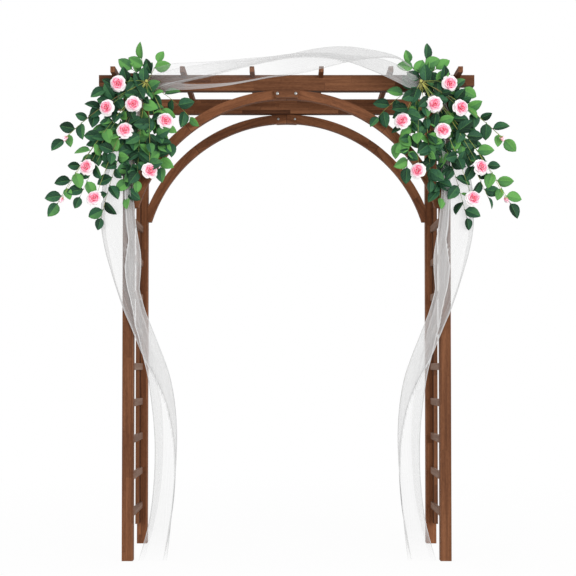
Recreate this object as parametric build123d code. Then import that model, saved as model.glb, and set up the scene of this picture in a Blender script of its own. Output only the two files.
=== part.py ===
from build123d import *
import math
import os

# Garden arbor of stained softwood, dressed with two rose bushes and a tulle scarf.
# X runs across the passage, Y through it and Z up, from the ground midway between the legs.
# All sizes are millimetres and degrees.

os.makedirs("parts", exist_ok=True)

# Posts
passage_width = 1332.0
frame_depth = 490.0
leg_width = 48.0
leg_depth = 42.0
board_thickness = 18.0
board_width = 50.0
board_lift = 100.0
arris = 2.0

# Head beams
head_height = 2053.0
beam_length = 1650.0
beam_height = 70.0
beam_thickness = 34.0
beam_setback = 27.0
tail_rise = 22.0

# Rafters
rafter_count = 6
rafter_spacing = 300.0
rafter_width = 20.0
rafter_height = 25.0
rafter_length = 610.0
rafter_lap = 13.0

# Rungs
rung_count = 11
rung_first = 184.0
rung_top_drop = 224.0
rung_height = 32.0
rung_thickness = 15.0
rung_housing = 6.0

# Arches
arch_radius = 720.0
arch_width = 40.0
arch_thickness = 28.0
arch_foot_drop = 517.0
arch_seam_angle = 52.0
plate_length = 116.0
plate_inset = 2.0
plate_thickness = 20.0
plate_end_angle = 15.0

# Fasteners
bolt_diameter = 6.0
shank_sides = 8
bolt_head_diameter = 14.0
bolt_head_height = 4.0
nut_diameter = 12.0
nut_height = 3.0
arch_bolt_spacing = 80.0
beam_bolt_bite = 26.0

# Rose bushes
seat_gap = 0.3
hub_inset = 62.0
hub_rise = 20.0
hub_radius = 10.0
stem_width = 3.0
stem_bow = 0.06
lane_count = 4
lane_first = 19.0
lane_pitch = 8.5
bloom_pitch = 9.0
leaf_length = 70.0
leaf_width = 48.0
leaf_thickness = 1.0
leaf_fold = 8.0
leaf_angle = 52.0
leaf_tilt = 1.5
leaf_start = 0.34
leaf_spacing = 40.0
small_leaf = 0.76
rose_diameter = 68.0
petal_count = 5
bud_diameter = 17.0
bud_length = 30.0
bush_offset = -12.0

# Tulle scarf
cloth_thickness = 3.0
drape_folds = 4
swag_folds = 3
fold_depth = 0.16
drape_hem = 6.0

# Leaf sprays of the left bush: how far each tip lies from the hub in X and in Z
sprays = [
    (185, -150),
    (95, -262),
    (60, -372),
    (-40, -430),
    (-86, -501),
    (-200, -590),
    (-290, -500),
    (-385, -530),
    (-250, -330),
    (-365, -250),
    (-195, -110),
    (-180, -35),
    (-70, 62),
    (-25, 105),
    (45, 88),
]

# Roses of the left bush: place from the hub in X and in Z, and the way each one turns
roses = [
    (-120, -12, -12, 10),
    (-56, -102, 0, 5),
    (-166, -118, -20, 0),
    (80, -176, 15, -5),
    (-92, -218, 0, -8),
    (-250, -376, -25, -5),
    (12, -392, 25, -10),
    (-220, -512, -10, -12),
]

# Buds of the left bush: place from the hub in X and in Z
buds = [
    (-338, -238),
    (-358, -500),
]

# Left drape from its knot to its hem: share of the drop, X from the leg's inner face, width, and
# distance in front of the leg
drape_stations = [
    (0.000, 26, 60, 0),
    (0.236, -74, 128, 0),
    (0.345, -44, 146, 0),
    (0.450, -4, 96, 4),
    (0.535, 59, 88, 8),
    (0.640, 118, 114, 10),
    (0.780, 147, 101, 12),
    (0.900, 130, 108, 12),
    (1.000, 95, 134, 12),
]

# Swag from left to right: X, lower and upper edge from the rafters' tops, and how far the cloth
# stays behind the rafters' ends
swag_stations = [
    (-578, -48, -18, 54),
    (-535, -78, -34, 34),
    (-470, -106, 8, 0),
    (-265, -91, 16, 0),
    (-93, -61, 35, 0),
    (57, -18, 63, 0),
    (208, 16, 78, 0),
    (336, -1, 72, 0),
    (463, -60, 24, 0),
    (500, -66, -38, 34),
    (550, -48, -18, 54),
]

# Places that follow from the sizes
leg_inner = passage_width / 2
leg_outer = leg_inner + leg_width
leg_face = frame_depth / 2
leg_back = leg_face - leg_depth
board_inner = leg_outer - board_thickness
beam_face = leg_face - beam_setback
beam_back = beam_face - beam_thickness
beam_middle = (beam_face + beam_back) / 2
beam_top = head_height + beam_height
tail_bottom = head_height + tail_rise
rafter_bottom = beam_top - rafter_lap
rafter_top = rafter_bottom + rafter_height
rung_inner = board_inner - (rung_thickness - rung_housing)
arch_centre = head_height - arch_radius
arch_face = leg_back + arch_thickness
arch_foot = head_height - arch_foot_drop
arch_middle = arch_radius - arch_width / 2
plate_face = arch_face + plate_thickness
through = 1.0
rafter_places = [(i - (rafter_count - 1) / 2) * rafter_spacing for i in range(rafter_count)]
rung_spacing = (head_height - rung_top_drop - rung_first) / (rung_count - 1)
rung_places = [rung_first + i * rung_spacing for i in range(rung_count)]
beam_bolt_x = leg_inner + leg_width / 2
beam_bolt_z = (tail_bottom + beam_top) / 2
arch_bolt_x = arch_bolt_spacing / 2
arch_bolt_z = arch_centre + math.sqrt(arch_middle**2 - arch_bolt_x**2)
lane_depths = [beam_setback + lane_first + i * lane_pitch for i in range(lane_count)]
bloom_depth = lane_depths[-1] + bloom_pitch


def block(x, y, z):
    """Box between two values on each axis."""
    size = Box(x[1] - x[0], y[1] - y[0], z[1] - z[0])
    return Pos((x[0] + x[1]) / 2, (y[0] + y[1]) / 2, (z[0] + z[1]) / 2) * size


def rod(start, end, diameter):
    """Round rod from one point to another."""
    axis = Vector(end) - Vector(start)
    return extrude(Plane(start, z_dir=axis) * Circle(diameter / 2), axis.length)


def shank(start, end):
    """Hidden part of a bolt, with few sides, because every hole that it goes through has as many."""
    axis = Vector(end) - Vector(start)
    return extrude(Plane(start, z_dir=axis) * RegularPolygon(bolt_diameter / 2, shank_sides), axis.length)


def turned(shape, side, end):
    """Copy of a right rear piece for any corner: side and end are 1 or -1."""
    if side < 0:
        shape = mirror(shape, about=Plane.YZ)
    if end < 0:
        shape = mirror(shape, about=Plane.XZ)
    return shape


def write(shape, node):
    """One file for one node."""
    export_step(shape, f"parts/{node}.step")


corners = [("front_left", -1, -1), ("front_right", 1, -1), ("rear_left", -1, 1), ("rear_right", 1, 1)]
ends = [("front", -1), ("rear", 1)]
sides = [("left", -1), ("right", 1)]


def beam_bolt_shank():
    """Bolt through the leg's cheek into the beam."""
    start = (beam_bolt_x, leg_face, beam_bolt_z)
    return shank(start, (beam_bolt_x, beam_face - beam_bolt_bite, beam_bolt_z))


def arch_bolt_shank():
    """Bolt through joining plate and arch."""
    start = (arch_bolt_x, plate_face, arch_bolt_z)
    return shank(start, (arch_bolt_x, leg_back, arch_bolt_z))


def bolt_head(x, y, z):
    """Round head on a face that looks to the rear."""
    return rod((x, y, z), (x, y + bolt_head_height, z), bolt_head_diameter)


def cap_nut(x, y, z):
    """Round cap nut over a bolt's end, on a face that looks to the front."""
    return rod((x, y, z), (x, y - nut_height, z), nut_diameter)


def leg():
    """Right rear leg: a square post rebated at the top for the beam."""
    post = block((leg_inner, leg_outer), (leg_back, leg_face), (0, beam_top))
    post = chamfer(post.edges().filter_by(Axis.Z), arris)
    rebate = block(
        (leg_inner - through, leg_outer + through),
        (leg_back - through, beam_face),
        (tail_bottom, beam_top + through),
    )
    return post - rebate - beam_bolt_shank()


def side_board():
    """Right rear side board, housed on its inner face for the rungs."""
    board = block((board_inner, leg_outer), (leg_back - board_width, leg_back), (board_lift, tail_bottom))
    for z in rung_places:
        board -= block(
            (board_inner - through, board_inner + rung_housing),
            (leg_back - board_width - through, leg_back + through),
            (z - rung_height / 2, z + rung_height / 2),
        )
    return board


def rung(z):
    """Right rung, from the front leg to the rear leg."""
    bar = block(
        (rung_inner, rung_inner + rung_thickness),
        (-leg_back, leg_back),
        (z - rung_height / 2, z + rung_height / 2),
    )
    inner_edges = bar.edges().filter_by(Axis.Y).group_by(Axis.X)[0]
    return chamfer(inner_edges, arris)


def beam():
    """Rear beam: cut back below at both tails, notched on top for the rafters."""
    half = beam_length / 2
    bar = block((-half, half), (beam_back, beam_face), (head_height, beam_top))
    bar = chamfer(bar.edges().filter_by(Axis.X), arris)
    depth = (beam_back - through, beam_face + through)
    for side in (-1, 1):
        tail = sorted((side * leg_inner, side * (half + through)))
        bar -= block(tail, depth, (head_height - through, tail_bottom))
    for x in rafter_places:
        seat = (x - rafter_width / 2, x + rafter_width / 2)
        bar -= block(seat, depth, (rafter_bottom, beam_top + through))
    for side in (-1, 1):
        bar -= turned(beam_bolt_shank(), side, 1)
    return bar


def rafter(x):
    """Rafter lying in the notches of both beams."""
    half = rafter_length / 2
    return block((x - rafter_width / 2, x + rafter_width / 2), (-half, half), (rafter_bottom, rafter_top))


def arch_half():
    """Right half of the rear arch: a ring cut by the leg, the foot and the seam, as two segments."""
    plane = Plane((0, arch_face, arch_centre), x_dir=(1, 0, 0), z_dir=(0, -1, 0))
    ring = Circle(arch_radius) - Circle(arch_radius - arch_width)
    ring = extrude(plane * ring, arch_thickness)
    reach = block((0, leg_inner), (leg_back, arch_face), (arch_foot, head_height + through))
    half = (ring & reach) - arch_bolt_shank()
    lean = math.radians(arch_seam_angle)
    seam = Plane((0, leg_back, arch_centre), z_dir=(-math.sin(lean), 0, math.cos(lean)))
    return [split(half, bisect_by=seam, keep=Keep.BOTTOM), split(half, bisect_by=seam, keep=Keep.TOP)]


def joining_plate():
    """Curved plate over the butt joint at the crown of the rear arch."""
    plane = Plane((0, plate_face, arch_centre), x_dir=(1, 0, 0), z_dir=(0, -1, 0))
    outer = arch_radius - plate_inset
    inner = arch_radius - arch_width + plate_inset
    plate = extrude(plane * (Circle(outer) - Circle(inner)), plate_thickness)
    crown = (arch_centre, arch_centre + outer)
    plate &= block((-plate_length, plate_length), (arch_face, plate_face), crown)
    lean = math.radians(plate_end_angle)
    for side in (-1, 1):
        corner = (side * plate_length / 2, plate_face, arch_centre + outer)
        cut = Plane(corner, z_dir=(-side * math.cos(lean), 0, math.sin(lean)))
        plate = split(plate, bisect_by=cut, keep=Keep.TOP)
    for side in (-1, 1):
        plate -= turned(arch_bolt_shank(), side, 1)
    return plate


# Timber frame
for name, side, end in corners:
    write(turned(leg(), side, end), f"{name}_leg")
    write(turned(side_board(), side, end), f"{name}_side_board")
for name, side in sides:
    for i, z in enumerate(rung_places):
        write(turned(rung(z), side, 1), f"{name}_rung_{i + 1:02d}")
for name, end in ends:
    write(turned(beam(), 1, end), f"{name}_beam")
    write(turned(joining_plate(), 1, end), f"{name}_arch_plate")
for i, x in enumerate(rafter_places):
    write(rafter(x), f"rafter_{i + 1}")
for name, side, end in corners:
    write(Compound([turned(segment, side, end) for segment in arch_half()]), f"{name}_arch_half")

# Fasteners, each kind as a group
beam_bolt = beam_bolt_shank() + bolt_head(beam_bolt_x, leg_face, beam_bolt_z)
arch_bolt = arch_bolt_shank() + bolt_head(arch_bolt_x, plate_face, arch_bolt_z)
arch_nut = cap_nut(arch_bolt_x, leg_back, arch_bolt_z)
for pieces, node in (([beam_bolt], "beam_bolts"), ([arch_bolt, arch_nut], "arch_bolts")):
    write(Compound([turned(piece, side, end) for name, side, end in corners for piece in pieces]), node)

# Rose bushes: the hub is bound to the beam, and every stem springs from it
hub = Vector(-(leg_inner - hub_inset), -(beam_face + seat_gap), head_height + hub_rise)


def folded_blade(length, width, thickness, fold, outline):
    """Thin blade along X, folded up on both sides of its middle.

    The outline of one side holds shares of the length and of half the width.
    """
    half = width / 2
    rise = half * math.tan(fold)
    lower = [(-half, rise), (0, 0), (half, rise)]
    upper = [(half, rise + thickness), (0, thickness), (-half, rise + thickness)]
    strip = extrude(Plane.YZ * make_face(Polyline(*lower, *upper, close=True)), length)
    one_side = [(along * length, across * half) for along, across in outline]
    other_side = [(x, -y) for x, y in reversed(one_side) if y > 0]
    return strip & extrude(make_face(Polyline(*one_side, *other_side, close=True)), rise + thickness)


leaf_outline = [(0, 0), (0.3, 0.92), (0.62, 0.9), (1, 0)]
# Layers of a rose from its cup to its heart: shares of its radius at the foot and at the rim, and
# of the height of both
petal_layers = [
    (0.045, 0.42, 0.00, 0.30),
    (0.42, 1.00, 0.22, 0.42),
    (0.40, 0.74, 0.40, 0.62),
    (0.26, 0.44, 0.60, 0.78),
]
rose_foot = petal_layers[0][0] * rose_diameter / 2


def leaf(scale):
    """Rose leaf with its base at the origin."""
    fold = math.radians(leaf_fold)
    return folded_blade(leaf_length * scale, leaf_width * scale, leaf_thickness, fold, leaf_outline)


def faceted_cone(low_radius, high_radius, low, high):
    """Frustum on the Z axis with one flat side for each petal."""
    turns = [2 * math.pi * i / petal_count for i in range(petal_count)]
    foot, rim = [
        [(radius * math.cos(turn), radius * math.sin(turn), z) for turn in turns]
        for radius, z in ((low_radius, low), (high_radius, high))
    ]
    outlines = [foot, rim]
    for i in range(petal_count):
        outlines.append([foot[i - 1], foot[i], rim[i], rim[i - 1]])
    return Solid(Shell([make_face(Polyline(*outline, close=True)).face() for outline in outlines]))


def rose():
    """Open rose on the Z axis: flared layers of petals, each turned half a petal from the one below."""
    radius = rose_diameter / 2
    bloom = None
    for i, (foot, rim, low, high) in enumerate(petal_layers):
        layer = faceted_cone(foot * radius, rim * radius, low * radius, high * radius)
        layer = Rot(0, 0, 180 / petal_count * i) * layer
        bloom = layer if bloom is None else bloom + layer
    return bloom


def rosebud():
    """Closed bud on the Z axis."""
    widest = bud_length * 0.4
    lower = faceted_cone(stem_width, bud_diameter / 2, 0, widest)
    return lower + faceted_cone(bud_diameter / 2, stem_width, widest, bud_length)


def stem_path(dx, dz, depth):
    """Arc from the rim of the hub to a tip, bowed up a little, in a plane in front of the beam."""
    length = math.hypot(dx, dz)
    rim = hub_radius + seat_gap
    start = hub + Vector(dx / length * rim, -depth, dz / length * rim)
    end = hub + Vector(dx, -depth, dz)
    middle = (start + end) * 0.5 + Vector(0, 0, stem_bow * abs(dx))
    middle += Vector(math.copysign(stem_bow * 0.3 * abs(dz), dx), 0, 0)
    return ThreePointArc(start, middle, end)


def stem(path):
    """Square-sided stem along an arc that lies in a plane of constant Y."""
    arcs = []
    for offset in (-stem_width / 2, stem_width / 2):
        points = [path @ t + (path % t).cross(Vector(0, 1, 0)) * offset for t in (0, 0.5, 1)]
        arcs.append(ThreePointArc(*points))
    closing = [Line(arcs[0] @ t, arcs[1] @ t) for t in (0, 1)]
    return extrude(make_face(arcs + closing), stem_width / 2, dir=(0, 1, 0), both=True)


def leaf_place(path, share, side, turn):
    """Plane of a leaf whose base rests on the stem: side is 0 for the leaf at the tip."""
    along = path % share
    heading = math.atan2(along.Z, along.X) + side * math.radians(leaf_angle)
    pitch = math.radians(turn)
    way = Vector(math.cos(heading) * math.cos(pitch), math.sin(pitch), math.sin(heading) * math.cos(pitch))
    reach = seat_gap if side == 0 else stem_width * 0.72 + seat_gap
    return Plane(path @ share + way * reach, x_dir=way, z_dir=Vector(0, -1, 0) - way * (-way.Y))


leaf_sizes = (leaf(1.0), leaf(small_leaf))
stems = [rod(hub, hub - Vector(0, bloom_depth + stem_width, 0), 2 * hub_radius)]
leaves = []
for i, (dx, dz) in enumerate(sprays):
    path = stem_path(dx, dz, lane_depths[i % lane_count])
    stems.append(stem(path))
    count = 2 + int((1 - leaf_start) * path.length / leaf_spacing)
    for k in range(count):
        share = leaf_start + (1 - leaf_start) * k / (count - 1)
        side = 0 if k == count - 1 else (-1) ** (k + i)
        size = leaf_sizes[(k + i) % 3 == 1]
        leaves.append(leaf_place(path, share, side, leaf_tilt * math.sin(2.4 * k + i)) * size)
blooms = []
one_rose = rose()
one_bud = rosebud()
for dx, dz, yaw, pitch in roses:
    path = stem_path(dx, dz, bloom_depth)
    stems.append(stem(path))
    axis = (Rot(pitch, 0, yaw) * Vertex(0, -1, 0)).center()
    reach = stem_width / 2 + rose_foot * math.sqrt(1 - axis.Y**2) + seat_gap
    blooms.append(Plane(path @ 1 + axis * reach, z_dir=axis) * one_rose)
for dx, dz in buds:
    path = stem_path(dx, dz, bloom_depth)
    stems.append(stem(path))
    blooms.append(Plane(path @ 1 + (path % 1) * seat_gap, z_dir=path % 1) * one_bud)
bush_mirror = Plane.YZ.offset(bush_offset)
for name, side in sides:
    for pieces, kind in ((stems, "stems"), (leaves, "leaves"), (blooms, "roses")):
        if side > 0:
            pieces = [mirror(piece, about=bush_mirror) for piece in pieces]
        write(Compound(pieces), f"{name}_garland_{kind}")


def cloth_section(plane, width, fold_count):
    """Pleated cross-section of the scarf, to and fro across the plane's X, closed at both edges."""
    step = width / fold_count
    rise = step * fold_depth
    front = [(-width / 2 + i * step, rise * (-1) ** i) for i in range(fold_count + 1)]
    back = [(x, y + cloth_thickness) for x, y in reversed(front)]
    return plane * make_face(Polyline(*front, *back, close=True))


# Tulle scarf
knot_height = head_height - drape_hem
drape_sections = []
for share, inward, width, forward in drape_stations:
    depth = cloth_thickness + width / drape_folds * fold_depth + seat_gap
    place = (-leg_inner + inward, -(leg_face + depth + forward), drape_hem + knot_height * (1 - share))
    drape_sections.append(cloth_section(Plane(place), width, drape_folds))
drape = loft(drape_sections, ruled=True)
write(drape, "left_tulle_drape")
write(mirror(drape, about=bush_mirror), "right_tulle_drape")
swag_sections = []
for x, low, high, behind in swag_stations:
    width = high - low
    depth = rafter_length / 2 + width / swag_folds * fold_depth + seat_gap - behind
    plane = Plane((x, -depth, rafter_top + (low + high) / 2), x_dir=(0, 0, 1), z_dir=(1, 0, 0))
    swag_sections.append(cloth_section(plane, width, swag_folds))
write(loft(swag_sections, ruled=True), "tulle_swag")
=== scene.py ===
import logging
import math
import random
from dataclasses import dataclass, field
from enum import Enum
from typing import Callable, Optional, Sequence, Union

import bmesh
import bpy
import numpy as np
from mathutils import Matrix, Vector
from mathutils.kdtree import KDTree


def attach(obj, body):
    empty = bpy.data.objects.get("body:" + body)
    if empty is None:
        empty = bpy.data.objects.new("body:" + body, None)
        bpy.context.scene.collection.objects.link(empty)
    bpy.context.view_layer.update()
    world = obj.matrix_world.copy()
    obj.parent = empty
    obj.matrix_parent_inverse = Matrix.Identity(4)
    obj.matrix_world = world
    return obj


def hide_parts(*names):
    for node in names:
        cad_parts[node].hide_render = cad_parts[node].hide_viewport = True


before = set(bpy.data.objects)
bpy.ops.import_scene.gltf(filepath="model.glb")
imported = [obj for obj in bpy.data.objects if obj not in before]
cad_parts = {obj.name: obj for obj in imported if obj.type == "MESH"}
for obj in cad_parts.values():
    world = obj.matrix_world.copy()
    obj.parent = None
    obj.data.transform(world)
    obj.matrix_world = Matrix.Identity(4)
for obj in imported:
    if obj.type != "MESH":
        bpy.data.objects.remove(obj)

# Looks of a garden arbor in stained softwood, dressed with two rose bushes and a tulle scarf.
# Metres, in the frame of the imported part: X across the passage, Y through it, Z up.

LOG = logging.getLogger("arbor")
BODY = "root"
IMAGE_SIZE = 576
SENSOR = 36.0
ORIGIN = (0, 0, 0)
RIGHT = Vector((1, 0, 0))
FRONT = Vector((0, -1, 0))
UP = Vector((0, 0, 1))
WHITE = (1, 1, 1, 1)

Triple = tuple[float, float, float]
Colour = tuple[float, float, float, float]
Socket = bpy.types.NodeSocket
Value = Union[Socket, float, Sequence[float]]
Inputs = dict[object, Value]
Stain = tuple[Colour, Colour, Colour]

# Darkest, middle and lightest fibres
RED_BROWN: Stain = (
    (0.042, 0.015, 0.007, 1),
    (0.138, 0.051, 0.021, 1),
    (0.262, 0.108, 0.049, 1),
)
WEATHERED: Stain = ((0.10, 0.052, 0.033, 1), (0.22, 0.128, 0.090, 1), (0.36, 0.245, 0.19, 1))


class Side(Enum):
    """The two sides of the passage."""

    LEFT = "left"
    RIGHT = "right"


class Grain(Enum):
    """Which way the fibres of a piece run, as the turn that lays them along X."""

    ACROSS = (0.0, 0.0, 0.0)
    THROUGH = (0.0, 0.0, math.pi / 2)
    UPRIGHT = (0.0, math.pi / 2, 0.0)


def log_piece(obj: bpy.types.Object) -> None:
    """Reports one finished piece."""
    LOG.info("%s: %d faces", obj.name, len(obj.data.polygons))


def finish_piece(
    piece: bpy.types.Object, node: str, material: bpy.types.Material
) -> None:
    """Gives a piece its material and its place in the frame.

    Args:
        piece: The piece.
        node: The CAD node that it stands for.
        material: The finish.
    """
    piece.data.materials.clear()
    piece.data.materials.append(material)
    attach(piece, BODY)
    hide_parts(node)
    log_piece(piece)


def deselect_all() -> None:
    """Leaves edit mode and drops the whole selection."""
    if bpy.context.mode != "OBJECT":
        bpy.ops.object.mode_set(mode="OBJECT")
    bpy.ops.object.select_all(action="DESELECT")


def activate(obj: bpy.types.Object) -> None:
    """Selects one object alone and makes it the active one.

    Args:
        obj: The object.
    """
    deselect_all()
    obj.select_set(True)
    bpy.context.view_layer.objects.active = obj


def edit(obj: bpy.types.Object) -> None:
    """Opens an object in edit mode with vertex selection.

    Args:
        obj: The object.
    """
    activate(obj)
    bpy.ops.object.mode_set(mode="EDIT")
    bpy.ops.mesh.select_mode(type="VERT")


def pick(obj: bpy.types.Object, test: Callable[[Vector], bool]) -> None:
    """Selects the vertices of the mesh in edit mode that pass a test.

    Args:
        obj: The object in edit mode.
        test: Says of a vertex's place whether it is selected.
    """
    mesh = bmesh.from_edit_mesh(obj.data)
    for vert in mesh.verts:
        vert.select = test(vert.co)
    mesh.select_flush_mode()
    bmesh.update_edit_mesh(obj.data)


def near(value: float, axis: int, slack: float = 1e-5) -> Callable[[Vector], bool]:
    """Test for a place on one plane.

    Args:
        value: The plane's coordinate.
        axis: 0, 1 or 2 for X, Y or Z.
        slack: How far off a place may be.

    Returns:
        A test for pick().
    """
    return lambda place: abs(place[axis] - value) < slack


def new_grid(columns: int, rows: int, size: float, name: str) -> bpy.types.Object:
    """Adds a flat grid.

    Args:
        columns: Faces along X.
        rows: Faces along Y.
        size: The grid's side.
        name: The object's name.

    Returns:
        The grid.
    """
    deselect_all()
    bpy.ops.mesh.primitive_grid_add(x_subdivisions=columns, y_subdivisions=rows, size=size)
    grid = bpy.context.object
    grid.name = name
    grid.data.name = name
    return grid


def apply_modifier(obj: bpy.types.Object, kind: str, **settings: object) -> None:
    """Adds a modifier with its settings and applies it.

    Args:
        obj: The object that it shapes.
        kind: Blender's name for the modifier type.
        settings: The modifier's own values.
    """
    activate(obj)
    modifier = obj.modifiers.new(kind, kind)
    for name, value in settings.items():
        setattr(modifier, name, value)
    bpy.ops.object.modifier_apply(modifier=modifier.name)


def put_in_scene(name: str, data: bpy.types.ID) -> bpy.types.Object:
    """Adds an object to the scene.

    Args:
        name: The object's name.
        data: Its mesh, curve, lamp or camera.

    Returns:
        The object.
    """
    obj = bpy.data.objects.new(name, data)
    bpy.context.scene.collection.objects.link(obj)
    return obj


def copy_of(obj: bpy.types.Object, place: Matrix) -> bpy.types.Object:
    """Copies an object with a mesh of its own.

    Args:
        obj: The pattern, at the origin.
        place: Where the copy goes, put into its mesh.

    Returns:
        The copy.
    """
    mesh = obj.data.copy()
    mesh.transform(place)
    if place.determinant() < 0:
        mesh.flip_normals()
    return put_in_scene(obj.name, mesh)


def join(parts: Sequence[bpy.types.Object], name: str) -> bpy.types.Object:
    """Joins several objects into one piece.

    Args:
        parts: The objects, of which the first one stays.
        name: The piece's name.

    Returns:
        The piece, smoothly shaded.
    """
    deselect_all()
    for part in parts:
        part.select_set(True)
    bpy.context.view_layer.objects.active = parts[0]
    bpy.ops.object.join()
    piece = parts[0]
    piece.name = name
    piece.data.name = name
    bpy.ops.object.shade_smooth()
    return piece


def discard(*patterns: bpy.types.Object) -> None:
    """Removes patterns that have been copied."""
    for pattern in patterns:
        bpy.data.objects.remove(pattern)


def paint_points(obj: bpy.types.Object, name: str, values: Sequence[float]) -> None:
    """Stores one number on each vertex, for a material to read.

    Args:
        obj: The object.
        name: The attribute's name.
        values: One number for each vertex, or one for all.
    """
    numbers = np.broadcast_to(np.asarray(values, np.float32), len(obj.data.vertices))
    obj.data.attributes.new(name, "FLOAT", "POINT").data.foreach_set("value", numbers.copy())


def islands(node: str, slack: float = 1e-6) -> list[list[Vector]]:
    """Corners of each separate solid of a CAD node.

    Args:
        node: The node's name.
        slack: How close corners of neighbouring triangles lie.

    Returns:
        One list of places for each solid.
    """
    mesh = bmesh.new()
    mesh.from_mesh(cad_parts[node].data)
    bmesh.ops.remove_doubles(mesh, verts=mesh.verts, dist=slack)
    seen: set[bmesh.types.BMVert] = set()
    found = []
    for seed in mesh.verts:
        if seed in seen:
            continue
        seen.add(seed)
        queue = [seed]
        corners = []
        while queue:
            vert = queue.pop()
            corners.append(vert.co.copy())
            for edge in vert.link_edges:
                other = edge.other_vert(vert)
                if other not in seen:
                    seen.add(other)
                    queue.append(other)
        found.append(corners)
    mesh.free()
    return found


def middle(places: Sequence[Vector]) -> Vector:
    """Mean of several places."""
    return sum(places, Vector()) / len(places)


def turned(degrees: float, axis: str) -> Matrix:
    """Turn about one axis."""
    return Matrix.Rotation(math.radians(degrees), 4, axis)


def look_frame(origin: Vector, along: Vector, facing: Vector) -> Matrix:
    """Frame whose X runs along a direction and whose Z faces another as far as it can.

    Args:
        origin: Where the frame sits.
        along: The way of its X axis.
        facing: The way that its Z axis turns to.

    Returns:
        The frame's matrix.
    """
    x = along.normalized()
    z = (facing - x * facing.dot(x)).normalized()
    turn = Matrix((x, z.cross(x), z)).transposed()
    return Matrix.Translation(origin) @ turn.to_4x4()


def scaled(colour: Colour, share: float) -> Colour:
    """A colour made darker or lighter."""
    return tuple(share * part for part in colour[:3]) + (1,)


class NodeTree:
    """Adds and joins the nodes of one material, world or group."""

    def __init__(self, tree: bpy.types.NodeTree) -> None:
        """Keeps the tree that the nodes go into."""
        self.tree = tree

    def fill(self, node: bpy.types.Node, inputs: Inputs) -> None:
        """Sets or links the inputs of a node.

        Args:
            node: The node.
            inputs: Values or sockets, by the input's name or place.
        """
        for key, value in inputs.items():
            if isinstance(value, Socket):
                self.tree.links.new(value, node.inputs[key])
            else:
                node.inputs[key].default_value = value

    def add(self, kind: str, inputs: Optional[Inputs] = None, **settings: object) -> bpy.types.Node:
        """Adds one node.

        Args:
            kind: The node's type.
            inputs: Values or sockets for its inputs, by name or place.
            settings: The node's own properties.

        Returns:
            The node.
        """
        node = self.tree.nodes.new(kind)
        for name, value in settings.items():
            setattr(node, name, value)
        self.fill(node, inputs or {})
        return node

    def math(
        self, operation: str, first: Value, second: Value = 0.0, clamp: bool = False
    ) -> Socket:
        """Adds a Math node and gives its result.

        Args:
            operation: Blender's name for the operation.
            first: The first number.
            second: The second number.
            clamp: Whether the result stays between 0 and 1.

        Returns:
            The result's socket.
        """
        inputs = {0: first, 1: second}
        return self.add("ShaderNodeMath", inputs, operation=operation, use_clamp=clamp).outputs[0]

    def plus(self, base: Value, value: Value, weight: Value) -> Socket:
        """Adds a weighted number to another one."""
        return self.math("ADD", base, self.math("MULTIPLY", value, weight))

    def sway(self, base: Value, value: Value, weight: float) -> Socket:
        """Moves a number up and down by a value that lies about one half."""
        return self.plus(base, self.math("SUBTRACT", value, 0.5), weight)

    def stripes(self, place: Value, share: float) -> Socket:
        """Mask of stripes about whole numbers, as wide on each side as a share of their pitch."""
        return self.math("LESS_THAN", self.math("PINGPONG", place, 0.5), share)

    def vector(self, operation: str, first: Value, second: Value) -> Socket:
        """Adds a Vector Math node and gives its vector."""
        inputs = {0: first, 1: second}
        return self.add("ShaderNodeVectorMath", inputs, operation=operation).outputs[0]

    def coords(self, kind: str = "Object") -> Socket:
        """The piece's own coordinates, or its UV map."""
        return self.add("ShaderNodeTexCoord").outputs[kind]

    def parts(self, vector: Value) -> dict[str, Socket]:
        """X, Y and Z of a vector."""
        return dict(self.add("ShaderNodeSeparateXYZ", {0: vector}).outputs.items())

    def painted(self, name: str) -> Socket:
        """The number that paint_points() stored."""
        return self.add("ShaderNodeAttribute", attribute_name=name).outputs["Fac"]

    def noise(
        self, vector: Value, scale: float, detail: float = 4.0, roughness: float = 0.55
    ) -> Socket:
        """Adds a Noise texture and gives its value."""
        inputs = {"Vector": vector, "Scale": scale, "Detail": detail, "Roughness": roughness}
        return self.add("ShaderNodeTexNoise", inputs).outputs[0]

    def bump(self, height: Value, strength: float, depth: float) -> Socket:
        """Adds a Bump node and gives its normal."""
        inputs = {"Height": height, "Strength": strength, "Distance": depth}
        return self.add("ShaderNodeBump", inputs).outputs[0]

    def ramp(self, factor: Value, stops: Sequence[tuple[float, Colour]]) -> Socket:
        """Adds a colour ramp and gives its colour.

        Args:
            factor: The place on the ramp.
            stops: Places and colours, from the first to the last.

        Returns:
            The colour's socket.
        """
        node = self.add("ShaderNodeValToRGB", {0: factor})
        elements = node.color_ramp.elements
        while len(elements) < len(stops):
            elements.new(0.5)
        for element, (place, colour) in zip(elements, stops):
            element.position = place
            element.color = colour
        return node.outputs[0]

    def mix(self, factor: Value, first: Value, second: Value) -> Socket:
        """Adds a colour Mix node and gives its colour."""
        inputs = {0: factor, 6: first, 7: second}
        return self.add("ShaderNodeMix", inputs, data_type="RGBA").outputs[2]


def new_group(
    name: str, inputs: dict[str, str], outputs: dict[str, str]
) -> tuple[NodeTree, dict[str, Socket], bpy.types.Node]:
    """Starts a shader node group.

    Args:
        name: The group's name.
        inputs: Kinds of its input sockets, by name.
        outputs: Kinds of its output sockets, by name.

    Returns:
        Its tree, the sockets that bring its inputs, and the node that takes its outputs.
    """
    tree = bpy.data.node_groups.new(name, "ShaderNodeTree")
    for direction, sockets in (("INPUT", inputs), ("OUTPUT", outputs)):
        for socket, kind in sockets.items():
            tree.interface.new_socket(name=socket, in_out=direction, socket_type=kind)
    source = tree.nodes.new("NodeGroupInput")
    return NodeTree(tree), dict(source.outputs.items()), tree.nodes.new("NodeGroupOutput")


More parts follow.
